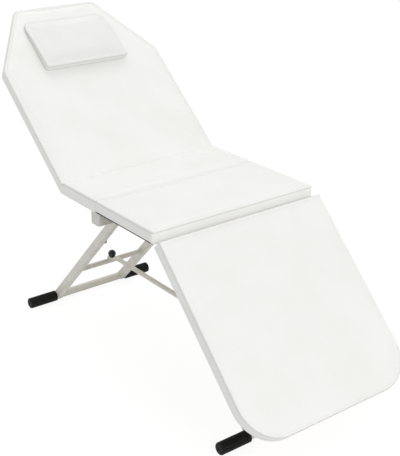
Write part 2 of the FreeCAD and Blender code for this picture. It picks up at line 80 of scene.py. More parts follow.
def mottle_group():
    """Two colours mixed by cloudy noise: a soft mask and the mixed colour."""
    tree, start, end = effect_group(
        "mottle",
        (("Light", "NodeSocketColor"), ("Dark", "NodeSocketColor"), ("Scale", "NodeSocketFloat")),
        (("Colour", "NodeSocketColor"), ("Mask", "NodeSocketFloat")))
    place = tree.nodes.new("ShaderNodeTexCoord")
    cloud = tree.nodes.new("ShaderNodeTexNoise")
    cloud.inputs["Detail"].default_value = 5
    spread = tree.nodes.new("ShaderNodeMapRange")
    spread.inputs["From Min"].default_value = 0.32
    spread.inputs["From Max"].default_value = 0.68
    mix = tree.nodes.new("ShaderNodeMix")
    mix.data_type = "RGBA"
    tree.links.new(place.outputs["Object"], cloud.inputs["Vector"])
    tree.links.new(start.outputs["Scale"], cloud.inputs["Scale"])
    tree.links.new(cloud.outputs["Fac"], spread.inputs["Value"])
    tree.links.new(spread.outputs["Result"], mix.inputs["Factor"])
    tree.links.new(start.outputs["Light"], mix.inputs["A"])
    tree.links.new(start.outputs["Dark"], mix.inputs["B"])
    tree.links.new(mix.outputs["Result"], end.inputs["Colour"])
    tree.links.new(spread.outputs["Result"], end.inputs["Mask"])
    return tree


def pebble_group():
    """Height of a pebbled skin: round cells with finer noise over them."""
    tree, start, end = effect_group(
        "pebble", (("Scale", "NodeSocketFloat"),), (("Height", "NodeSocketFloat"),))
    place = tree.nodes.new("ShaderNodeTexCoord")
    cells = tree.nodes.new("ShaderNodeTexVoronoi")
    cells.feature = "SMOOTH_F1"
    fine = tree.nodes.new("ShaderNodeTexNoise")
    fine.inputs["Detail"].default_value = 3
    total = tree.nodes.new("ShaderNodeMath")
    total.operation = "MULTIPLY_ADD"
    total.inputs[1].default_value = 0.4
    for texture in (cells, fine):
        tree.links.new(place.outputs["Object"], texture.inputs["Vector"])
        tree.links.new(start.outputs["Scale"], texture.inputs["Scale"])
    tree.links.new(fine.outputs["Fac"], total.inputs[0])
    tree.links.new(cells.outputs["Distance"], total.inputs[2])
    tree.links.new(total.outputs["Value"], end.inputs["Height"])
    return tree


mottle = mottle_group()
pebble = pebble_group()


def coated(name, light, dark, cloud_scale, gloss, grain_scale, grain_height):
    """Material with a mottled colour, roughness that follows the mottle, and a pebbled bump."""
    material = bpy.data.materials.new(name)
    material.use_nodes = True
    nodes, links = material.node_tree.nodes, material.node_tree.links
    shader = nodes["Principled BSDF"]
    colour = nodes.new("ShaderNodeGroup")
    colour.node_tree = mottle
    colour.inputs["Light"].default_value = light
    colour.inputs["Dark"].default_value = dark
    colour.inputs["Scale"].default_value = cloud_scale
    rough = nodes.new("ShaderNodeMapRange")
    rough.inputs["To Min"].default_value, rough.inputs["To Max"].default_value = gloss
    grain = nodes.new("ShaderNodeGroup")
    grain.node_tree = pebble
    grain.inputs["Scale"].default_value = grain_scale
    bump = nodes.new("ShaderNodeBump")
    bump.inputs["Strength"].default_value = 0.35
    bump.inputs["Distance"].default_value = grain_height
    links.new(colour.outputs["Colour"], shader.inputs["Base Color"])
    links.new(colour.outputs["Mask"], rough.inputs["Value"])
    links.new(rough.outputs["Result"], shader.inputs["Roughness"])
    links.new(grain.outputs["Height"], bump.inputs["Height"])
    links.new(bump.outputs["Normal"], shader.inputs["Normal"])
    return material


def dress(material, *names):
    """Gives a material to CAD nodes."""
    for name in names:
        for holder in frame["nodes"][name].material_slots:
            holder.material = material


powder_coat = coated("powder_coat", light=srgb(225, 224, 216), dark=srgb(220, 219, 210),
                     cloud_scale=26, gloss=(0.38, 0.5), grain_scale=900, grain_height=0.0001)
tube_names = [half + tube for half in ("front_", "rear_")
              for tube in ("hinge_bar", "leg_near", "leg_far", "rail_near", "rail_far",
                           "crossbar", "floor_bar")]
dress(powder_coat, *tube_names, "stay_bar", "stay_sleeve")


# Weld beads where the tubes meet: at both ends of the legs, the crossbars' ends and the rails.
# Small rippled fillets of steel, coated with the frame.
def grid_mesh(name, grid, wrap_rows=False):
    """Mesh of a rows x columns grid of points. The columns close on themselves, and so may the
    rows; otherwise a flat face caps each end. Faces are turned outwards by the signed volume."""
    rows, columns = grid.shape[:2]
    index = np.arange(rows * columns).reshape(rows, columns)
    index = np.concatenate([index, index[:, :1]], axis=1)
    if wrap_rows:
        index = np.concatenate([index, index[:1]], axis=0)
    quads = np.stack([index[:-1, :-1], index[:-1, 1:], index[1:, 1:], index[1:, :-1]], -1)
    quads = quads.reshape(-1, 4)
    points = grid.reshape(-1, 3)
    corner = points[quads] - points.mean(axis=0)
    volume = np.einsum("ij,ij->i", corner[:, 0], np.cross(corner[:, 1], corner[:, 2])).sum()
    faces = quads.tolist()
    if not wrap_rows:
        faces += [index[0, :-1][::-1].tolist(), index[-1, :-1].tolist()]
    if volume < 0:
        faces = [face[::-1] for face in faces]
    mesh = bpy.data.meshes.new(name)
    mesh.from_pydata(points.tolist(), [], faces)
    mesh.shade_smooth()
    piece = bpy.data.objects.new(name, mesh)
    bpy.context.scene.collection.objects.link(piece)
    return piece


def bead_grid(path, plane_normal, radius, segments):
    """Tube round a closed path in one plane: a circle spanned by the outward side and the
    plane's normal at each point of the path."""
    ahead = np.roll(path, -1, axis=0) - np.roll(path, 1, axis=0)
    ahead /= np.linalg.norm(ahead, axis=1, keepdims=True)
    side = np.cross(ahead, plane_normal)
    turn = np.linspace(0, 2 * math.pi, segments, endpoint=False)
    radius = np.broadcast_to(radius, len(path))[:, None, None]
    return (path[:, None] + radius * (np.cos(turn)[None, :, None] * side[:, None]
                                      + np.sin(turn)[None, :, None] * np.array(plane_normal)))


def joined(name, pieces):
    """Several meshes joined into one object."""
    with bpy.context.temp_override(active_object=pieces[0], selected_editable_objects=pieces):
        bpy.ops.object.join()
    pieces[0].name = name
    return pieces[0]


arc_points = 17
run_points = 40


def outline(corners, radii, inset, steps=run_points):
    """Convex outline drawn in by inset: an arc at each corner, then a straight run to the next.
    An inset corner lies on the sum of the two inward normals over one plus their product."""
    corners, radii = np.array(corners), np.array(radii)
    run = np.roll(corners, -1, axis=0) - corners
    run /= np.linalg.norm(run, axis=1, keepdims=True)
    inward = np.stack([-run[:, 1], run[:, 0]], axis=-1)
    before = np.roll(inward, 1, axis=0)
    meet = (before + inward) / (1 + (before * inward).sum(axis=1, keepdims=True))
    radius = np.maximum(radii - inset, radii / 2)[:, None]
    centre = corners + meet * (inset + radius)
    start = np.arctan2(-before[:, 1], -before[:, 0])
    turn = np.arccos(np.clip((before * inward).sum(axis=1), -1, 1))
    angle = start[:, None] + turn[:, None] * np.linspace(0, 1, arc_points)
    arcs = centre[:, None] + radius[:, None] * np.stack([np.cos(angle), np.sin(angle)], -1)
    along = np.linspace(0, 1, steps + 2)[1:-1, None]
    straight = arcs[:, -1:] + (np.roll(arcs, -1, axis=0)[:, :1] - arcs[:, -1:]) * along
    return np.concatenate([arcs, straight], axis=1).reshape(-1, 2)


def oblong(low, high, radius):
    """Rounded rectangle between two plan corners."""
    return outline(((low[0], low[1]), (high[0], low[1]), (high[0], high[1]), (low[0], high[1])),
                   (radius,) * 4, 0)


weld_radius = 0.0020
weld_pitch = 0.0030
weld_ripple = 0.18
weld_sides = 8
ring_points = 96


def weld(path, normal):
    """Weld bead along a closed path: a tube that swells at every ripple."""
    step = np.linalg.norm(np.roll(path, -1, axis=0) - path, axis=1)
    place = (np.cumsum(step) - step) / step.sum()
    ripples = round(step.sum() / weld_pitch)
    radius = weld_radius * (1 + weld_ripple * np.sin(2 * math.pi * ripples * place))
    return grid_mesh("weld", bead_grid(path, normal, radius, weld_sides), wrap_rows=True)


hinge_place = {joint["name"]: np.array(joint["pos_m"]) for joint in frame["joints"]}
leg_weld_reach = 0.053
leg_depth = 0.028
leg_width = 0.023
tube_corner = 0.002
rim_drop = 0.0028
for half, way in (("front", 1), ("rear", -1)):
    beads = []
    bar_low, bar_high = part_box(half + "_crossbar")
    bar_radius = (bar_high.z - bar_low.z) / 2
    turn = np.linspace(0, 2 * math.pi, ring_points, endpoint=False)
    for end in (bar_low.y, bar_high.y):
        beads.append(weld(np.stack([(bar_low.x + bar_high.x) / 2 + bar_radius * np.cos(turn),
                                    np.full_like(turn, end),
                                    (bar_low.z + bar_high.z) / 2 + bar_radius * np.sin(turn)], -1),
                          (0, 1, 0)))
    floor_low, floor_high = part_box(half + "_floor_bar")
    floor_radius = (floor_high.z - floor_low.z) / 2
    foot = np.array(((floor_low.x + floor_high.x) / 2, (floor_low.z + floor_high.z) / 2))
    rail_low, rail_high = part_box(half + "_rail_far")
    top = np.array((hinge_place["centre_fold"][0] + way * leg_weld_reach, rail_low.z))
    leg_run = (top - foot) / np.linalg.norm(top - foot)
    leg_side = np.array((-leg_run[1], leg_run[0]))
    section = oblong((-leg_width / 2, -leg_depth / 2), (leg_width / 2, leg_depth / 2), tube_corner)
    saddle = np.sqrt(np.clip(floor_radius ** 2 - section[:, 1] ** 2, 0, None))
    level = (top[1] - foot[1] - section[:, 1] * leg_side[1]) / leg_run[1]
    hinge_low, hinge_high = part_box(half + "_hinge_bar")
    bar_face = hinge_high.x if way > 0 else hinge_low.x
    for side in (-1, 1):
        leg_y = side * (rail_low.y + rail_high.y) / 2
        for reach, normal in ((saddle, (leg_run[0], 0, leg_run[1])), (level, (0, 0, 1))):
            spot = foot + reach[:, None] * leg_run + section[:, 1:] * leg_side
            beads.append(weld(np.column_stack([spot[:, 0], leg_y + section[:, 0], spot[:, 1]]),
                              normal))
        half_rail = (rail_high.y - rail_low.y) / 2
        rim = oblong((leg_y - half_rail, rail_low.z),
                     (leg_y + half_rail, rail_high.z - rim_drop), tube_corner)
        beads.append(weld(np.column_stack([np.full(len(rim), bar_face), rim]), (1, 0, 0)))
    beads = joined(half + "_welds", beads)
    beads.data.materials.append(powder_coat)
    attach(beads, half + "_frame")

# End plugs of the hinge bars.
# Ribbed caps of grey moulded plastic, pressed into the tubes.
plug_plastic = coated("plug_plastic", light=srgb(229, 228, 224), dark=srgb(222, 221, 216),
                      cloud_scale=60, gloss=(0.45, 0.58), grain_scale=1400, grain_height=0.0002)
dress(plug_plastic, "front_bar_plugs", "rear_bar_plugs")

# Sleeves on the ends of the floor bars.
# Black moulded rubber with lengthwise grooves, pushed on and closed at the end.
sleeve_rubber = coated("sleeve_rubber", light=srgb(20, 20, 21), dark=srgb(14, 14, 15),
                       cloud_scale=40, gloss=(0.55, 0.72), grain_scale=1600, grain_height=0.0004)
rubber_shader = sleeve_rubber.node_tree.nodes["Principled BSDF"]
rubber_shader.inputs["Specular IOR Level"].default_value = 0.2
dress(sleeve_rubber, *[half + "_foot_sleeve_" + side
                       for half in ("front", "rear") for side in ("near", "far")])

# Centre hinge, the ratchet hinges of the backrest and the leg rest, and all the screws.
# Pressed steel plate with a bright zinc coat, turned pins with peened heads, and zinc-plated
# cross-headed screws that hold the straps and the rails to the boards.
zinc_coat = coated("zinc_coat", light=srgb(190, 192, 194), dark=srgb(164, 166, 168),
                   cloud_scale=180, gloss=(0.28, 0.46), grain_scale=1200, grain_height=0.0002)
zinc_coat.node_tree.nodes["Principled BSDF"].inputs["Metallic"].default_value = 1
dress(zinc_coat, "centre_hinge_front", "centre_hinge_rear", "centre_hinge_pins",
      *[hinge + part for hinge in ("back_hinge_", "leg_rest_hinge_")
        for part in ("fixed_leaves", "moving_leaves", "pins", "fixed_screws", "moving_screws")],
      "front_rail_screws", "rear_rail_screws")

# Knob of the stay, and the stop bolts of the rear legs.
# The knob is glossy black moulded plastic on its screw. The bolts are black oxide steel.
knob_plastic = coated("knob_plastic", light=srgb(18, 18, 19), dark=srgb(13, 13, 14),
                      cloud_scale=70, gloss=(0.24, 0.34), grain_scale=1500, grain_height=0.0001)
dress(knob_plastic, "stay_knob")
black_oxide = coated("black_oxide", light=srgb(52, 50, 49), dark=srgb(38, 37, 36),
                     cloud_scale=220, gloss=(0.4, 0.55), grain_scale=1500, grain_height=0.0002)
dress(black_oxide, "stop_bolts")


# Boards under the cushions.
# Poplar plywood, bare underneath, with its grain along the table. The seat's board is black,
# and its edge shows as a thin dark line under the cover.
def plywood_material():
    """Bare veneer: fine streaks along the table over a pale timber colour, from noise that is
    stretched along X and Z."""
    material = coated("plywood", light=srgb(213, 189, 151), dark=srgb(204, 178, 138),
                      cloud_scale=4, gloss=(0.55, 0.7), grain_scale=600, grain_height=0.0002)
    nodes, links = material.node_tree.nodes, material.node_tree.links
    place = nodes.new("ShaderNodeTexCoord")
    stretch = nodes.new("ShaderNodeMapping")
    stretch.inputs["Scale"].default_value = (2.5, 90, 2.5)
    streak = nodes.new("ShaderNodeTexNoise")
    streak.inputs["Scale"].default_value = 2
    streak.inputs["Detail"].default_value = 6
    contrast = nodes.new("ShaderNodeMapRange")
    contrast.inputs["From Min"].default_value = 0.35
    contrast.inputs["From Max"].default_value = 0.70
    shade = nodes.new("ShaderNodeMix")
    shade.data_type = "RGBA"
    shade.blend_type = "MULTIPLY"
    shade.inputs["B"].default_value = srgb(214, 190, 156)
    old = nodes["Principled BSDF"].inputs["Base Color"].links[0].from_socket
    links.new(place.outputs["Object"], stretch.inputs["Vector"])
    links.new(stretch.outputs["Vector"], streak.inputs["Vector"])
    links.new(streak.outputs["Fac"], contrast.inputs["Value"])
    links.new(contrast.outputs["Result"], shade.inputs["Factor"])
    links.new(old, shade.inputs["A"])
    links.new(shade.outputs["Result"], nodes["Principled BSDF"].inputs["Base Color"])
    return material


dress(plywood_material(), "back_board", "lumbar_board", "leg_rest_board")
# Black seat board: its edge makes the thin dark line under the seat's cover.
stained_board = coated("stained_board", light=srgb(34, 32, 31), dark=srgb(24, 23, 22),
                       cloud_scale=30, gloss=(0.6, 0.75), grain_scale=700, grain_height=0.0003)
dress(stained_board, "seat_board")

# Seat: a slab of foam in a boxed cover on the seat board.
# White leatherette top sewn to a side band. A thread cord lies in the seam, its grey partly the
# thread's own colour and partly painted shade of the seam's groove. The band is wrapped over the
# board's edge and turned in under it.
half_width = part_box("seat_cushion")[1].y
hinge_drop = 0.007
board_thickness = 0.009
joint_lap = 0.0018
band_steps = 96
corner_radius = 0.010
joint_radius = 0.010
seam_height_share = 0.86
seat_length = hinge_place["leg_rest_tilt"][0] - hinge_place["centre_fold"][0]
seat_thickness = 0.040

leatherette = coated("leatherette", light=srgb(243, 243, 241), dark=srgb(239, 239, 236),
                     cloud_scale=7, gloss=(0.42, 0.52), grain_scale=620, grain_height=0.0007)
# Thread in the seams: its grey is partly the thread's own colour and partly painted shade of the
# seam's groove.
seam_thread = coated("seam_thread", light=srgb(222, 221, 217), dark=srgb(214, 213, 208),
                     cloud_scale=300, gloss=(0.6, 0.7), grain_scale=900, grain_height=0.0003)


def edge_depth(points, corners, radii):
    """Distance of plan points inside a rounded convex outline: the nearest side's, or in the
    sector of a corner its radius less the distance from the arc's centre."""
    corners, radii = np.array(corners), np.array(radii)
    run = np.roll(corners, -1, axis=0) - corners
    run /= np.linalg.norm(run, axis=1, keepdims=True)
    inward = np.stack([-run[:, 1], run[:, 0]], axis=-1)
    before = np.roll(inward, 1, axis=0)
    meet = (before + inward) / (1 + (before * inward).sum(axis=1, keepdims=True))
    centre = corners + meet * radii[:, None]
    depth = ((points[:, None] - corners) * inward).sum(axis=-1).min(axis=1)
    offset = points[:, None] - centre
    in_sector = ((offset * np.roll(run, 1, axis=0)).sum(-1) > 0) & ((offset * run).sum(-1) < 0)
    arc_depth = np.where(in_sector, radii - np.linalg.norm(offset, axis=-1), np.inf)
    return np.minimum(depth, arc_depth.min(axis=1))


cap_shares = np.array([0.02, 0.25, 0.5, 0.75])[:, None, None]


def pad_grid(corners, radii, base, thickness, levels):
    """Rings of a pad from the middle of its underside round its side to the middle of its top.
    A level is an inset and a share of the height; thickness may change along the pad."""
    rings = []
    for inset, share in levels:
        plan = outline(corners, radii, inset)
        height = base + (thickness(plan[:, 0]) - base) * share
        rings.append(np.column_stack([plan, height]))
    middle = np.array(corners).mean(axis=0)
    rings = np.array(rings)
    centre = np.concatenate([np.broadcast_to(middle, rings[0][:, :2].shape),
                             rings[0][:, 2:]], axis=1)
    under = centre + (rings[0] - centre) * cap_shares
    top_plan = middle + (rings[-1][:, :2] - middle) * cap_shares[::-1]
    over = np.concatenate([top_plan, thickness(top_plan[..., :1])], axis=-1)
    return np.concatenate([under, rings, over])


def vertex_array(mesh):
    """All vertex places of a mesh as one array."""
    places = np.empty(len(mesh.vertices) * 3, np.float32)
    mesh.vertices.foreach_get("co", places)
    return places.reshape(-1, 3).astype(float)


def settled_mesh(piece):
    """Mesh of a piece with its modifiers applied, put in the piece's place."""
    graph = bpy.context.evaluated_depsgraph_get()
    mesh = bpy.data.meshes.new_from_object(piece.evaluated_get(graph))
    piece.modifiers.clear()
    piece.data = mesh
    return mesh


smallest = 1e-9
swell_frames = 20
seam_hold = 0.6
base_hold = 0.5


def stuffed(piece, base, seam, corners, radii, voxel, swell):
    """Foam pressing out its cover: the form is remeshed, swollen by cloth pressure with its
    base and seam held, with each point's movement capped, and subdivided once."""
    remesh = piece.modifiers.new("voxels", "REMESH")
    remesh.mode = "VOXEL"
    remesh.voxel_size = voxel
    mesh = settled_mesh(piece)
    still = vertex_array(mesh)
    depth = edge_depth(still[:, :2], corners, radii)
    on_seam = (np.abs(still[:, 2] - seam(still[:, 0])) < voxel * seam_hold) & (depth < voxel)
    on_base = still[:, 2] < base + voxel * base_hold
    held = piece.vertex_groups.new(name="held")
    held.add(np.flatnonzero(on_base | on_seam).tolist(), 1, "REPLACE")
    cloth = piece.modifiers.new("swelling", "CLOTH")
    cloth.settings.vertex_group_mass = "held"
    cloth.settings.use_pressure = True
    cloth.settings.uniform_pressure_force = 4
    cloth.settings.effector_weights.gravity = 0
    cloth.collision_settings.use_collision = False
    for step in range(1, swell_frames + 1):
        bpy.context.scene.frame_set(step)
    graph = bpy.context.evaluated_depsgraph_get()
    moved = vertex_array(piece.evaluated_get(graph).data)
    piece.modifiers.clear()
    bpy.context.scene.frame_set(1)
    move = moved - still
    reach = np.linalg.norm(move, axis=1, keepdims=True)
    still += move * np.minimum(1, swell / np.maximum(reach, smallest))
    mesh.vertices.foreach_set("co", still.astype(np.float32).ravel())
    mesh.update()
    smooth = piece.modifiers.new("smooth", "SUBSURF")
    smooth.levels = smooth.render_levels = 1
    settled_mesh(piece)


fade_gain = 1.6
growth_limit = 0.6
nudge = 1e-4


def squared_edge(piece, top, corners, radii, inset, reach, power):
    """Cover pulled tight over the foam's edge: in the cross-section, points of the top edge's
    quadrant move out to a superellipse round its centre, fading to nothing at both ends."""
    mesh = piece.data
    places = vertex_array(mesh)
    depth = edge_depth(places[:, :2], corners, radii)
    out = inset + reach - depth
    up = places[:, 2] - top(places[:, 0]) + reach
    angle = np.arctan2(up, out)
    own = np.hypot(out, up)
    full = reach / (np.abs(np.cos(angle)) ** power + np.abs(np.sin(angle)) ** power) ** (1 / power)
    fade = np.clip(np.sin(2 * angle) * fade_gain, 0, 1) * ((out > 0) & (up > 0))
    fade = fade * fade * (3 - 2 * fade)
    grow = 1 + fade * np.clip(full / np.maximum(own, smallest) - 1, 0, growth_limit)
    slope = np.stack([edge_depth(places[:, :2] + step, corners, radii) - depth
                      for step in nudge * np.eye(2)], axis=-1) / nudge
    places[:, :2] -= slope * (out * (grow - 1))[:, None]
    places[:, 2] += up * (grow - 1)
    mesh.vertices.foreach_set("co", places.astype(np.float32).ravel())
    mesh.update()


groove_width = 0.0022
edge_fade = 0.012
pucker_height = 0.0003
pucker_width = 0.012
gather_waves = (230, 215)
sway_waves = (31, 27)
sway = (2.1, 1.7)


def sewn(piece, seam, corners, radii, depth_of_seam):
    """Cover drawn in along its seam: points near the edge move inwards by a bell curve about
    the seam's height, and small gathers fade away from it."""
    mesh = piece.data
    places = vertex_array(mesh)
    normals = np.empty(len(places) * 3, np.float32)
    mesh.vertex_normals.foreach_get("vector", normals)
    normals = normals.reshape(-1, 3)
    depth = edge_depth(places[:, :2], corners, radii)
    near_edge = np.exp(-np.clip(depth, 0, 1) / edge_fade)
    away = places[:, 2] - seam(places[:, 0])
    groove = depth_of_seam * np.exp(-(away / groove_width) ** 2) * near_edge
    lengthwise, crosswise = (
        np.sin(gather_waves[axis] * places[:, axis]
               + sway[axis] * np.sin(sway_waves[axis] * places[:, 1 - axis])) for axis in (0, 1))
    pucker = pucker_height * lengthwise * crosswise * near_edge
    pucker *= np.exp(-(away / pucker_width) ** 2)
    places -= normals * (groove + pucker)[:, None]
    mesh.vertices.foreach_set("co", places.astype(np.float32).ravel())
    mesh.update()


def tilted(flat, hinge, angle):
    """Flat panel points (along, across, height above the hinge line) turned about that line."""
    along, across, height = flat[..., 0], flat[..., 1], flat[..., 2]
    return np.stack([hinge[0] + along * np.cos(angle) + height * np.sin(angle), across,
                     hinge[2] - along * np.sin(angle) + height * np.cos(angle)], axis=-1)


def set_in_place(piece, place):
    """Moves every vertex of a flat piece to its place on the table."""
    places = place(vertex_array(piece.data))
    piece.data.vertices.foreach_set("co", places.astype(np.float32).ravel())
    piece.data.update()
    piece.data.shade_smooth()


foam_gap = 0.0004
edge_inset = 0.0009
edge_reach = 0.010
edge_power = 5
seam_groove = 0.0014
cord_inset = 0.0013
cord_radius = 0.0013
cord_sides = 10
# A pad's cross-section from below to above: inset from the outline and share of the height.
pad_levels = ((0.0070, 0.0), (0.0042, 0.0), (0.0036, 0.3), (0.0032, 0.6), (0.0026, 0.84),
              (0.0028, 0.90), (0.0040, 0.95), (0.0080, 0.985), (0.020, 0.995), (0.060, 1.0))


def upholstered(name, corners, radii, thickness, swell, place, voxel, skirt_foot, hem_reach):
    """One panel's cover: the stuffed pad, the thread in its seam (its grey partly painted shade of
    the seam's groove), and the side band that runs from the seam down over the board's edge and
    is turned in under it."""
    base = hinge_drop + board_thickness + foam_gap

    def top(along):
        return hinge_drop + thickness(along) - swell

    def seam(along):
        return base + (top(along) - base) * seam_height_share

    pad = grid_mesh(name, pad_grid(corners, radii, base, top, pad_levels))
    stuffed(pad, base, seam, corners, radii, voxel, swell)
    squared_edge(pad, lambda along: top(along) + swell / 2, corners, radii,
                 edge_inset, edge_reach, edge_power)
    sewn(pad, seam, corners, radii, seam_groove)
    # Thread cord in the seam; its grey material is partly painted shade of the seam's groove.
    path = outline(corners, radii, cord_inset, band_steps)
    path = np.column_stack([path, seam(path[:, 0])])
    cord = grid_mesh(name + "_seam_cord",
                     bead_grid(path, (0, 0, 1), cord_radius, cord_sides), wrap_rows=True)
    # The band's closed cross-section: inset, share of the height up to the seam, and a lift.
    band = ((hem_reach, 0, -0.0011), (hem_reach, 0, -0.0022), (0.0014, 0, -0.0022),
            (0.0003, 0, -0.0010), (0.0002, 0, 0.0010), (0.0001, 0.3, 0), (0.0000, 0.55, 0),
            (0.0002, 0.8, 0), (0.0014, 1, -0.0012), (0.0026, 1, 0), (0.0042, 1, 0),
            (0.0029, 0.4, 0), (0.0027, 0, -0.0011))
    rings = []
    for inset, share, lift in band:
        plan = outline(corners, radii, inset, band_steps)
        foot = hinge_drop + skirt_foot(plan[:, 0])
        rings.append(np.column_stack([plan, foot + (seam(plan[:, 0]) - foot) * share + lift]))
    skirt = grid_mesh(name + "_skirt", np.array(rings), wrap_rows=True)
    for piece in (pad, cord, skirt):
        set_in_place(piece, place)
        piece.data.materials.clear()
        piece.data.materials.append(seam_thread if piece is cord else leatherette)
    return pad, cord, skirt


seat_corners = ((-seat_length - joint_lap, -half_width), (0, -half_width),
                (0, half_width), (-seat_length - joint_lap, half_width))
seat_radii = (joint_radius, corner_radius, corner_radius, joint_radius)
panel_swell = 0.0025
front_foot = 0.0014
side_foot_rise = 0.0050
foot_run = 0.012


def seat_foot(along):
    """Foot of the seat's band above the board's underside: it drops at the front edge, and
    elsewhere lets the board's dark edge show."""
    return front_foot + side_foot_rise * np.clip(-along / foot_run, 0, 1)


seat_pieces = upholstered(
    "seat_cover", seat_corners, seat_radii,
    thickness=lambda along: np.full_like(along, seat_thickness), swell=panel_swell,
    place=lambda flat: tilted(flat, hinge_place["leg_rest_tilt"], 0), voxel=0.0055,
    skirt_foot=seat_foot, hem_reach=0.0028)
for piece in seat_pieces:
    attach(piece, "front_frame")
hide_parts("seat_cushion")

# Backrest and lumbar panel: one cover over two boards, with a soft fold at the back hinge.
# White leatherette over firm foam, stapled under the boards. The head end is narrowed by two
# straight sides, and the cover bends where the back tilts.
lumbar_length = hinge_place["centre_fold"][0] - hinge_place["back_tilt"][0]
back_length = 0.702
back_taper_start = 0.465
head_half_width = 0.1545
head_radius = 0.022
back_thickness = 0.032
back_angle = math.radians(40)
fold_reach = 0.021
fold_foot = 0.004
crease_depth = 0.0034
crease_reach = 0.007
hem_reach = 0.028


def fold_share(along):
    """How far a place along the cover belongs to the back: a smooth step across the hinge."""
    step = np.clip((fold_reach - along) / (2 * fold_reach), 0, 1)
    return step * step * (3 - 2 * step)


def folded(flat):
    """Flat cover points bent over the back hinge: a quadratic curve joins the two panels,
    tighter lower down, and each point's height is set off along the curve's normal. A bell
    curve presses a crease in along the middle of the fold."""
    along, across, height = flat[..., 0], flat[..., 1], flat[..., 2]
    rise = np.clip(height / (hinge_drop + seat_thickness), 0, 1)
    height = height - crease_depth * rise ** 2 * np.exp(-(along / crease_reach) ** 2)
    reach = fold_foot + (fold_reach - fold_foot) * rise
    share = np.clip((reach - along) / (2 * reach), 0, 1)
    angle = np.arctan2(share * math.sin(back_angle), 1 - share + share * math.cos(back_angle))
    beyond = along - np.clip(along, -reach, reach)
    forward = reach * ((1 - share) ** 2 - share ** 2 * math.cos(back_angle))
    upward = reach * share ** 2 * math.sin(back_angle)
    hinge = hinge_place["back_tilt"]
    return np.stack([hinge[0] + forward + beyond * np.cos(angle) + height * np.sin(angle), across,
                     hinge[2] + upward - beyond * np.sin(angle) + height * np.cos(angle)], axis=-1)


back_corners = ((lumbar_length + joint_lap, half_width), (-back_taper_start, half_width),
                (-back_length, head_half_width), (-back_length, -head_half_width),
                (-back_taper_start, -half_width), (lumbar_length + joint_lap, -half_width))
back_radii = (joint_radius,) + (head_radius,) * 4 + (joint_radius,)
panel_voxel = 0.006
wrapped_foot = 0.0006
back_pieces = upholstered(
    "back_cover", back_corners, back_radii,
    thickness=lambda along: seat_thickness + (back_thickness - seat_thickness) * fold_share(along),
    swell=panel_swell, place=folded, voxel=panel_voxel,
    skirt_foot=lambda along: np.full_like(along, wrapped_foot), hem_reach=hem_reach)
for piece in back_pieces:
    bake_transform(piece)
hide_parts("back_cushion", "lumbar_cushion")

staple_step = 0.034
staple_length = 0.010
staple_wire = 0.0009
staple_inset_share = 0.62
staple_seat = 0.0015


def staples(name, corners, radii, kept, place, body):
    """Row of wire staples on a turned-in hem: small bars at even steps along the outline, each
    spanned by its own direction, the side across it and the upright."""
    path = outline(corners, radii, hem_reach * staple_inset_share)
    path = np.concatenate([path, path[:1]])
    run = np.linalg.norm(np.diff(path, axis=0), axis=1)
    reach = np.concatenate([[0], np.cumsum(run)])
    at = np.arange(staple_step / 2, reach[-1], staple_step)
    at = at[kept(np.interp(at, reach, path[:, 0]))]
    ends = np.stack([np.interp(at[:, None] + staple_length * np.array((-0.5, 0.5)), reach,
                               path[:, axis]) for axis in (0, 1)], axis=-1)
    ahead = ends[:, 1] - ends[:, 0]
    ahead /= np.linalg.norm(ahead, axis=1, keepdims=True)
    aside = np.stack([-ahead[:, 1], ahead[:, 0]], axis=-1) * staple_wire / 2
    ring = np.concatenate([ends - aside[:, None], ends[:, ::-1] + aside[:, None]], axis=1)
    under = np.full(ring.shape[:2] + (1,), hinge_drop - staple_seat)
    points = np.concatenate([np.concatenate([ring, under], axis=-1),
                             np.concatenate([ring, under - staple_wire], axis=-1)], axis=1)
    faces = np.array(((0, 1, 2, 3), (7, 6, 5, 4), (0, 4, 5, 1), (1, 5, 6, 2), (2, 6, 7, 3),
                      (3, 7, 4, 0)))
    faces = (faces + 8 * np.arange(len(points))[:, None, None]).reshape(-1, 4)
    mesh = bpy.data.meshes.new(name)
    mesh.from_pydata(place(points.reshape(-1, 3)).tolist(), [], faces.tolist())
    mesh.materials.append(zinc_coat)
    row = bpy.data.objects.new(name, mesh)
    bpy.context.scene.collection.objects.link(row)
    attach(row, body)


def on_back(flat):
    """Flat points turned to the photographed tilt of the backrest."""
    return tilted(flat, hinge_place["back_tilt"], back_angle)


staples("back_staples", back_corners, back_radii, kept=lambda along: along < -2 * fold_reach,
        place=on_back, body="backrest")
staples("lumbar_staples", back_corners, back_radii, kept=lambda along: along > 2 * fold_reach,
        place=lambda flat: tilted(flat, hinge_place["back_tilt"], 0), body="rear_frame")

# Leg rest: a long panel hinged under the seat's front edge, with large foot corners.
# The same sewn cover over foam, stapled under its own board of bare plywood.
leg_rest_start = 0.0010
leg_rest_length = 0.613
leg_rest_thickness = 0.0355
leg_rest_angle = math.radians(45.5)
foot_radius = 0.120
leg_hinge_radius = 0.004
leg_corners = ((leg_rest_start, -half_width), (leg_rest_length, -half_width),
               (leg_rest_length, half_width), (leg_rest_start, half_width))
leg_radii = (leg_hinge_radius, foot_radius, foot_radius, leg_hinge_radius)


def on_leg_rest(flat):
    """Flat points turned to the photographed tilt of the leg rest."""
    return tilted(flat, hinge_place["leg_rest_tilt"], leg_rest_angle)


leg_pieces = upholstered(
    "leg_rest_cover", leg_corners, leg_radii,
    thickness=lambda along: np.full_like(along, leg_rest_thickness), swell=panel_swell,
    place=on_leg_rest, voxel=panel_voxel,
    skirt_foot=lambda along: np.full_like(along, wrapped_foot), hem_reach=hem_reach)
for piece in leg_pieces:
    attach(piece, "leg_rest")
staples("leg_rest_staples", leg_corners, leg_radii, kept=lambda along: along > hem_reach,
        place=on_leg_rest, body="leg_rest")
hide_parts("leg_rest_cushion")
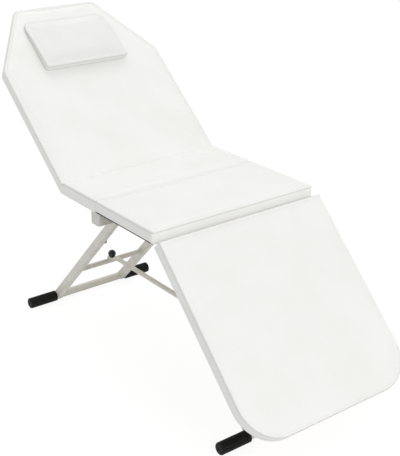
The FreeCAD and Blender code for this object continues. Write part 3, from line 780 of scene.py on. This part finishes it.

# Head pillow: a wedge, thin at the head, fixed to the backrest with hook-and-loop tape.
# Softer foam in a slightly greyer leatherette, with thread in the seam round its side; the
# thread's grey is partly painted shade of the seam's groove.
pillow_start = 0.434
pillow_length = 0.210
pillow_half_width = 0.159
pillow_neck_thickness = 0.031
pillow_head_thickness = 0.012
pillow_head_radius = 0.038
pillow_neck_radius = 0.010
pillow_corners = ((-pillow_start - pillow_length, -pillow_half_width),
                  (-pillow_start, -pillow_half_width), (-pillow_start, pillow_half_width),
                  (-pillow_start - pillow_length, pillow_half_width))
pillow_radii = (pillow_head_radius, pillow_neck_radius, pillow_neck_radius, pillow_head_radius)
pillow_sink = 0.0010
pillow_swell = 0.004
pillow_voxel = 0.0045
pillow_edge_reach = 0.012
pillow_edge_power = 4
pillow_cord_inset = 0.0014
pillow_cord_radius = 0.0012
head_seam_share = 0.40
neck_seam_share = 0.80
pillow_base = hinge_drop + back_thickness - pillow_sink
pillow_levels = ((0.012, 0.0), (0.0036, 0.0), (0.0020, 0.14), (0.0014, 0.36), (0.0016, 0.70),
                 (0.0028, 0.84), (0.0060, 0.94), (0.018, 0.985), (0.045, 1.0))


def neck_share(along):
    """Share of the way from the pillow's head end to its neck."""
    return np.clip((along + pillow_start + pillow_length) / pillow_length, 0, 1)


def pillow_top(along):
    """Top of the unswollen pillow: a parabola that is thin at the head and full at the neck."""
    share = neck_share(along)
    rise = pillow_neck_thickness - pillow_head_thickness
    return pillow_base + pillow_head_thickness + rise * share * (2 - share) - pillow_swell


def pillow_seam(along):
    """Height of the pillow's seam: midway up its thin head end, higher towards the neck."""
    share = head_seam_share + (neck_seam_share - head_seam_share) * neck_share(along)
    return pillow_base + (pillow_top(along) - pillow_base) * share


pillow_leatherette = coated("pillow_leatherette", light=srgb(234, 234, 232),
                            dark=srgb(230, 230, 227), cloud_scale=9, gloss=(0.44, 0.54),
                            grain_scale=620, grain_height=0.0007)
pillow = grid_mesh("head_pillow", pad_grid(pillow_corners, pillow_radii, pillow_base, pillow_top,
                                           pillow_levels))
stuffed(pillow, pillow_base, pillow_seam, pillow_corners, pillow_radii,
        pillow_voxel, pillow_swell)
squared_edge(pillow, pillow_top, pillow_corners, pillow_radii,
             edge_inset, pillow_edge_reach, pillow_edge_power)
sewn(pillow, pillow_seam, pillow_corners, pillow_radii, seam_groove)
# Thread cord in the pillow's seam; its grey material is partly painted shade of the seam's groove.
path = outline(pillow_corners, pillow_radii, pillow_cord_inset)
path = np.column_stack([path, pillow_seam(path[:, 0])])
pillow_cord = grid_mesh("head_pillow_seam_cord",
                        bead_grid(path, (0, 0, 1), pillow_cord_radius, cord_sides),
                        wrap_rows=True)
for piece, cloth in ((pillow, pillow_leatherette), (pillow_cord, seam_thread)):
    set_in_place(piece, on_back)
    piece.data.materials.clear()
    piece.data.materials.append(cloth)
    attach(piece, "backrest")
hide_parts("pillow")

# Studio: a white floor and surround that stay plain white to the camera.
# Soft light comes from the surround, from a broad lamp overhead and from one at the foot end,
# and the floor keeps part of the object's shadow.
floor_reach = 14.0
floor_grid = floor_reach * np.array([[(-1, -1, 0), (1, -1, 0)], [(-1, 1, 0), (1, 1, 0)]], float)
floor_mesh = bpy.data.meshes.new("floor")
floor_mesh.from_pydata(floor_grid.reshape(-1, 3).tolist(), [], [(0, 1, 3, 2)])
floor = bpy.data.objects.new("floor", floor_mesh)
bpy.context.scene.collection.objects.link(floor)


def seen_mask(nodes, links):
    """1 for rays from the camera, mirrors and glass, and 0 for light falling on the object."""
    path = nodes.new("ShaderNodeLightPath")
    first = nodes.new("ShaderNodeMath")
    first.operation = "MAXIMUM"
    second = nodes.new("ShaderNodeMath")
    second.operation = "MAXIMUM"
    links.new(path.outputs["Is Camera Ray"], first.inputs[0])
    links.new(path.outputs["Is Glossy Ray"], first.inputs[1])
    links.new(path.outputs["Is Transmission Ray"], second.inputs[0])
    links.new(first.outputs["Value"], second.inputs[1])
    return second.outputs["Value"]


floor_white = bpy.data.materials.new("floor_white")
floor_white.use_nodes = True
nodes, links = floor_white.node_tree.nodes, floor_white.node_tree.links
paper = nodes["Principled BSDF"]
paper.inputs["Base Color"].default_value = (0.8, 0.8, 0.8, 1)
paper.inputs["Roughness"].default_value = 1
paper.inputs["Specular IOR Level"].default_value = 0
glow = nodes.new("ShaderNodeEmission")
glow.inputs["Strength"].default_value = 1.12
share = nodes.new("ShaderNodeMath")
share.operation = "MULTIPLY"
share.inputs[1].default_value = 0.8
blend = nodes.new("ShaderNodeMixShader")
links.new(seen_mask(nodes, links), share.inputs[0])
links.new(share.outputs["Value"], blend.inputs["Fac"])
links.new(paper.outputs["BSDF"], blend.inputs[1])
links.new(glow.outputs["Emission"], blend.inputs[2])
links.new(blend.outputs["Shader"], nodes["Material Output"].inputs["Surface"])
floor_mesh.materials.append(floor_white)

world = bpy.data.worlds.new("studio")
bpy.context.scene.world = world
world.use_nodes = True
nodes, links = world.node_tree.nodes, world.node_tree.links
surround = nodes["Background"]
surround.inputs["Color"].default_value = (1, 1, 1, 1)
ambient = nodes.new("ShaderNodeMapRange")
ambient.inputs["To Min"].default_value = 0.72
ambient.inputs["To Max"].default_value = 1
links.new(seen_mask(nodes, links), ambient.inputs["Value"])
links.new(ambient.outputs["Result"], surround.inputs["Strength"])


def lamp(name, place, aim, size, power):
    """Square area lamp at a place, turned to a point."""
    light = bpy.data.lights.new(name, "AREA")
    light.size = size
    light.energy = power
    holder = bpy.data.objects.new(name, light)
    holder.location = place
    away = mathutils.Vector(place) - mathutils.Vector(aim)
    holder.rotation_euler = away.to_track_quat("Z", "Y").to_euler()
    bpy.context.scene.collection.objects.link(holder)


lamp("overhead", place=(-1.8, 0.5, 3.6), aim=(0.0, 0.0, 0.5), size=2.6, power=30)
lamp("foot_end", place=(5.5, -0.4, 3.0), aim=(0.1, 0.0, 0.5), size=2.4, power=88)

# Camera at the photograph's angle, for an image of 400 x 456 pixels.
# Its place and turn come from a fit to the corners of the four panels, and the small shift
# from the picture's principal point.
image_width = 400
image_height = 456
focal_pixels = 984.37
centre_pixel = (206.22, 212.15)
sensor = 36.0
from_centre_fold = 2.3439
to_the_near_side = 1.6821
above_the_floor = 1.6715
dip = 22.194
turn_from_foot_end = 52.498
camera = bpy.data.objects.new("camera", bpy.data.cameras.new("camera"))
camera.location = (hinge_place["centre_fold"][0] + from_centre_fold, -to_the_near_side,
                   above_the_floor)
camera.rotation_euler = (math.radians(90 - dip), 0, math.radians(turn_from_foot_end))
camera.data.sensor_width = sensor
camera.data.lens = focal_pixels / image_height * sensor
camera.data.shift_x = (image_width / 2 - centre_pixel[0]) / image_height
camera.data.shift_y = (centre_pixel[1] - image_height / 2) / image_height
bpy.context.scene.collection.objects.link(camera)
bpy.context.scene.camera = camera
bpy.context.scene.view_settings.view_transform = "Standard"
